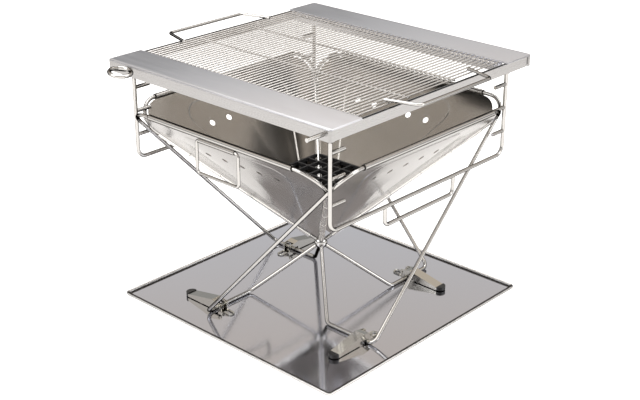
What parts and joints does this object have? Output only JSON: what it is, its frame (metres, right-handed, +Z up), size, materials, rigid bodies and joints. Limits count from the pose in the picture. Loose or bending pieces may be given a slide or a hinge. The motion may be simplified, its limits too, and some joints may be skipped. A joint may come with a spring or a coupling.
{
  "type": "folding charcoal grill",
  "caption": "Portable charcoal grill: steel bowl like an upside-down pyramid on crossed wire legs with latched feet, square base plate, shelved top frame and lift-off net.",
  "frame": {"origin": "middle of the base plate's underside, on the floor", "axes": "+Z up; -X is the side with the carrying ring and the peg, the net's handles are at -Y and +Y"},
  "size_m": [0.4926, 0.5128, 0.4021],
  "materials": {
    "mirror_steel": "polished stainless sheet",
    "bright_wire": "bright stainless wire",
    "brushed_steel": "satin, brushed along the length",
    "black_iron": "matt black",
    "black_plastic": "satin black"
  },
  "bodies": {
    "stand": {"base_plate": "mirror_steel", "hub": "bright_wire", "bowl_side_left": "mirror_steel", "bowl_side_front": "mirror_steel", "bowl_side_right": "mirror_steel", "bowl_side_back": "mirror_steel", "side_wire_left": "bright_wire", "side_wire_front": "bright_wire", "side_wire_right": "bright_wire", "side_wire_back": "bright_wire", "latch_left_bracket": "bright_wire", "latch_left_keeper": "bright_wire", "latch_front_bracket": "bright_wire", "latch_front_keeper": "bright_wire", "latch_right_bracket": "bright_wire", "latch_right_keeper": "bright_wire", "latch_back_bracket": "bright_wire", "latch_back_keeper": "bright_wire"},
    "grate": {"charcoal_grate": "black_iron"},
    "top_frame": {"shelf_left": "brushed_steel", "shelf_right": "brushed_steel", "rail_front": "brushed_steel", "rail_back": "brushed_steel"},
    "frame_front": {"support_frame_front": "bright_wire"},
    "frame_back": {"support_frame_back": "bright_wire"},
    "net": {"grill_net": "bright_wire", "net_handle_front": "bright_wire", "net_handle_back": "bright_wire"},
    "bail_left": {"bail_left": "bright_wire"},
    "bail_right": {"bail_right": "bright_wire"},
    "lever_left": {"latch_left_lever": "bright_wire", "latch_left_cap": "black_plastic", "latch_left_pin": "bright_wire"},
    "lever_front": {"latch_front_lever": "bright_wire", "latch_front_cap": "black_plastic", "latch_front_pin": "bright_wire"},
    "lever_right": {"latch_right_lever": "bright_wire", "latch_right_cap": "black_plastic", "latch_right_pin": "bright_wire"},
    "lever_back": {"latch_back_lever": "bright_wire", "latch_back_cap": "black_plastic", "latch_back_pin": "bright_wire"}
  },
  "joints": [
    {"name": "top_lift", "type": "slide", "parent": "stand", "child": "top_frame", "axis": [0, 0, 1], "range_m": [0, 0.12]},
    {"name": "frame_front_swing", "type": "hinge", "parent": "top_frame", "child": "frame_front", "pos_m": [0, -0.212, 0.388], "axis": [-1, 0, 0], "range_deg": [0, 35]},
    {"name": "frame_back_swing", "type": "hinge", "parent": "top_frame", "child": "frame_back", "pos_m": [0, 0.182, 0.3895], "axis": [1, 0, 0], "range_deg": [0, 35]},
    {"name": "net_lift", "type": "slide", "parent": "top_frame", "child": "net", "axis": [0, 0, 1], "range_m": [0, 0.15]},
    {"name": "grate_lift", "type": "slide", "parent": "stand", "child": "grate", "axis": [0, 0, 1], "range_m": [0, 0.14]},
    {"name": "bail_left_swing", "type": "hinge", "parent": "stand", "child": "bail_left", "pos_m": [-0.21584, 0, 0.31267], "axis": [0, 1, 0], "range_deg": [0, 100]},
    {"name": "bail_right_swing", "type": "hinge", "parent": "stand", "child": "bail_right", "pos_m": [0.21584, 0, 0.31267], "axis": [0, -1, 0], "range_deg": [0, 100]},
    {"name": "latch_left_open", "type": "hinge", "parent": "stand", "child": "lever_left", "pos_m": [-0.155, 0.06757, 0.011], "axis": [1, 0, 0], "range_deg": [0, 100]},
    {"name": "latch_front_open", "type": "hinge", "parent": "stand", "child": "lever_front", "pos_m": [-0.06757, -0.157, 0.011], "axis": [0, 1, 0], "range_deg": [0, 100]},
    {"name": "latch_right_open", "type": "hinge", "parent": "stand", "child": "lever_right", "pos_m": [0.134, -0.06757, 0.011], "axis": [-1, 0, 0], "range_deg": [0, 100]},
    {"name": "latch_back_open", "type": "hinge", "parent": "stand", "child": "lever_back", "pos_m": [0.06757, 0.14, 0.011], "axis": [0, -1, 0], "range_deg": [0, 100]}
  ],
  "couplings": [
    {"joint": "frame_front_swing", "follows": "top_lift", "rad_per_m": 5},
    {"joint": "frame_back_swing", "follows": "top_lift", "rad_per_m": 5}
  ]
}
